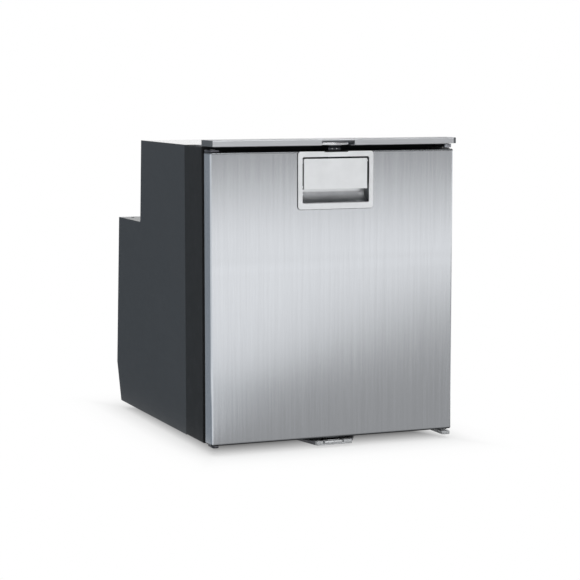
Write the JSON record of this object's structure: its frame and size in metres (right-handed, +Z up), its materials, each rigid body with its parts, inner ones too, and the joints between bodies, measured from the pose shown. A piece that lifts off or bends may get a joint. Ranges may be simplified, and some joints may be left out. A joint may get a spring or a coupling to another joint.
{
  "type": "compressor refrigerator",
  "caption": "Compact built-in compressor refrigerator with a hinged stainless door, freezer box, shelves, drawer and a stepped back over its machine room.",
  "frame": {"origin": "on the floor, below the middle of the object's box", "axes": "+X to the right, +Y away from the user to the back, +Z up"},
  "size_m": [0.448, 0.545, 0.525],
  "materials": {
    "cabinet_paint": "semi-matt dark grey paint",
    "collar_plastic": "fine moulded dark grey",
    "foam": "rigid foam",
    "liner_plastic": "glossy off-white moulding",
    "drawer_plastic": "clear greyish moulding",
    "rubber": "matt black rubber",
    "zinc_steel": "zinc plated",
    "rail_aluminium": "satin anodised",
    "catch_plastic": "satin silver grey moulding",
    "catch_bright": "bright nickel",
    "evaporator_aluminium": "rolled sheet",
    "shelf_wire": "white coated wire",
    "lamp_plastic": "milky lens",
    "button_plastic": "grey moulding",
    "black_metal": "black enamel",
    "module_plastic": "black moulding",
    "copper": "drawn copper",
    "stainless": "upright brushed grain",
    "handle_satin": "satin silver",
    "cup_plastic": "black grained moulding",
    "latch_plastic": "grey moulding",
    "spring_steel": "drawn wire"
  },
  "bodies": {
    "cabinet": {"front_collar": "collar_plastic", "side_panel_left": "cabinet_paint", "side_panel_right": "cabinet_paint", "top_panel": "cabinet_paint", "back_panel": "cabinet_paint", "bottom_panel": "cabinet_paint", "rear_cover": "cabinet_paint", "foam_insulation": "foam", "inner_liner": "liner_plastic", "rubber_feet": "rubber", "rear_spacers": "collar_plastic", "cabinet_screws": "zinc_steel", "cable_gland": "collar_plastic", "top_rail": "rail_aluminium", "rail_end_caps": "collar_plastic", "rail_plate": "zinc_steel", "rail_screws": "zinc_steel", "hinge_bracket_upper": "zinc_steel", "hinge_bracket_lower": "zinc_steel", "catch_base_lower": "catch_plastic", "freezer_shell": "liner_plastic", "evaporator": "evaporator_aluminium", "drip_tray": "liner_plastic", "lower_shelf": "shelf_wire", "upper_shelf": "shelf_wire", "control_housing": "liner_plastic", "lamp_lens": "lamp_plastic", "temperature_sensor": "button_plastic", "compressor": "black_metal", "compressor_mounts": "rubber", "electronics_module": "module_plastic", "fan_frame": "module_plastic", "condenser_fins": "evaporator_aluminium", "condenser_tube": "black_metal", "discharge_pipe": "copper", "filter_drier": "copper", "capillary_tube": "copper", "suction_pipe": "copper"},
    "door": {"door_skin": "stainless", "door_foam": "foam", "door_liner": "liner_plastic", "door_gasket": "rubber", "bottle_bin": "liner_plastic", "small_bin": "liner_plastic", "handle_frame": "handle_satin", "handle_cup": "cup_plastic", "handle_scoop": "handle_satin", "flap_spring": "spring_steel", "door_bushes": "latch_plastic", "spare_hinge_plates": "zinc_steel"},
    "catch_slide_lower": {"catch_slide_lower": "catch_bright"},
    "catch_slide_upper": {"catch_slide_upper": "catch_bright"},
    "freezer_flap": {"freezer_flap": "liner_plastic"},
    "crisper_drawer": {"crisper_drawer": "drawer_plastic"},
    "power_button": {"power_button": "button_plastic"},
    "temperature_button": {"temperature_button": "button_plastic"},
    "fan_rotor": {"fan_rotor": "module_plastic"},
    "handle_flap": {"handle_flap": "handle_satin"},
    "upper_latch": {"upper_latch": "latch_plastic"},
    "lower_latch": {"lower_latch": "latch_plastic"}
  },
  "joints": [
    {"name": "door_hinge", "type": "hinge", "parent": "cabinet", "child": "door", "pos_m": [0.213, -0.2535, 0.26], "axis": [0, 0, 1], "range_deg": [0, 120]},
    {"name": "handle_flap_hinge", "type": "hinge", "parent": "door", "child": "handle_flap", "pos_m": [0.0009, -0.2625, 0.488], "axis": [-1, 0, 0], "range_deg": [0, 25], "stiffness_Nm_per_rad": 0.4, "springref_deg": -11.46},
    {"name": "upper_latch_slide", "type": "slide", "parent": "door", "child": "upper_latch", "axis": [0, 0, -1], "range_m": [0, 0.00405]},
    {"name": "lower_latch_slide", "type": "slide", "parent": "door", "child": "lower_latch", "axis": [0, 0, 1], "range_m": [0, 0.00405]},
    {"name": "upper_catch_slide", "type": "slide", "parent": "cabinet", "child": "catch_slide_upper", "axis": [0, -1, 0], "range_m": [0, 0.012]},
    {"name": "lower_catch_slide", "type": "slide", "parent": "cabinet", "child": "catch_slide_lower", "axis": [0, -1, 0], "range_m": [0, 0.012]},
    {"name": "freezer_flap_hinge", "type": "hinge", "parent": "cabinet", "child": "freezer_flap", "pos_m": [0, -0.0645, 0.371], "axis": [1, 0, 0], "range_deg": [0, 85]},
    {"name": "drawer_slide", "type": "slide", "parent": "cabinet", "child": "crisper_drawer", "axis": [0, -1, 0], "range_m": [0, 0.095]},
    {"name": "power_button_press", "type": "slide", "parent": "cabinet", "child": "power_button", "axis": [0, 1, 0], "range_m": [0, 0.0015], "stiffness_N_per_m": 400},
    {"name": "temperature_button_press", "type": "slide", "parent": "cabinet", "child": "temperature_button", "axis": [0, 1, 0], "range_m": [0, 0.0015], "stiffness_N_per_m": 400},
    {"name": "fan_spin", "type": "hinge", "parent": "cabinet", "child": "fan_rotor", "pos_m": [-0.125, 0.18, 0.215], "axis": [0, 1, 0], "continuous": true}
  ],
  "couplings": [
    {"joint": "upper_latch_slide", "follows": "handle_flap_hinge", "m_per_rad": 0.009167},
    {"joint": "lower_latch_slide", "follows": "handle_flap_hinge", "m_per_rad": 0.009167}
  ]
}
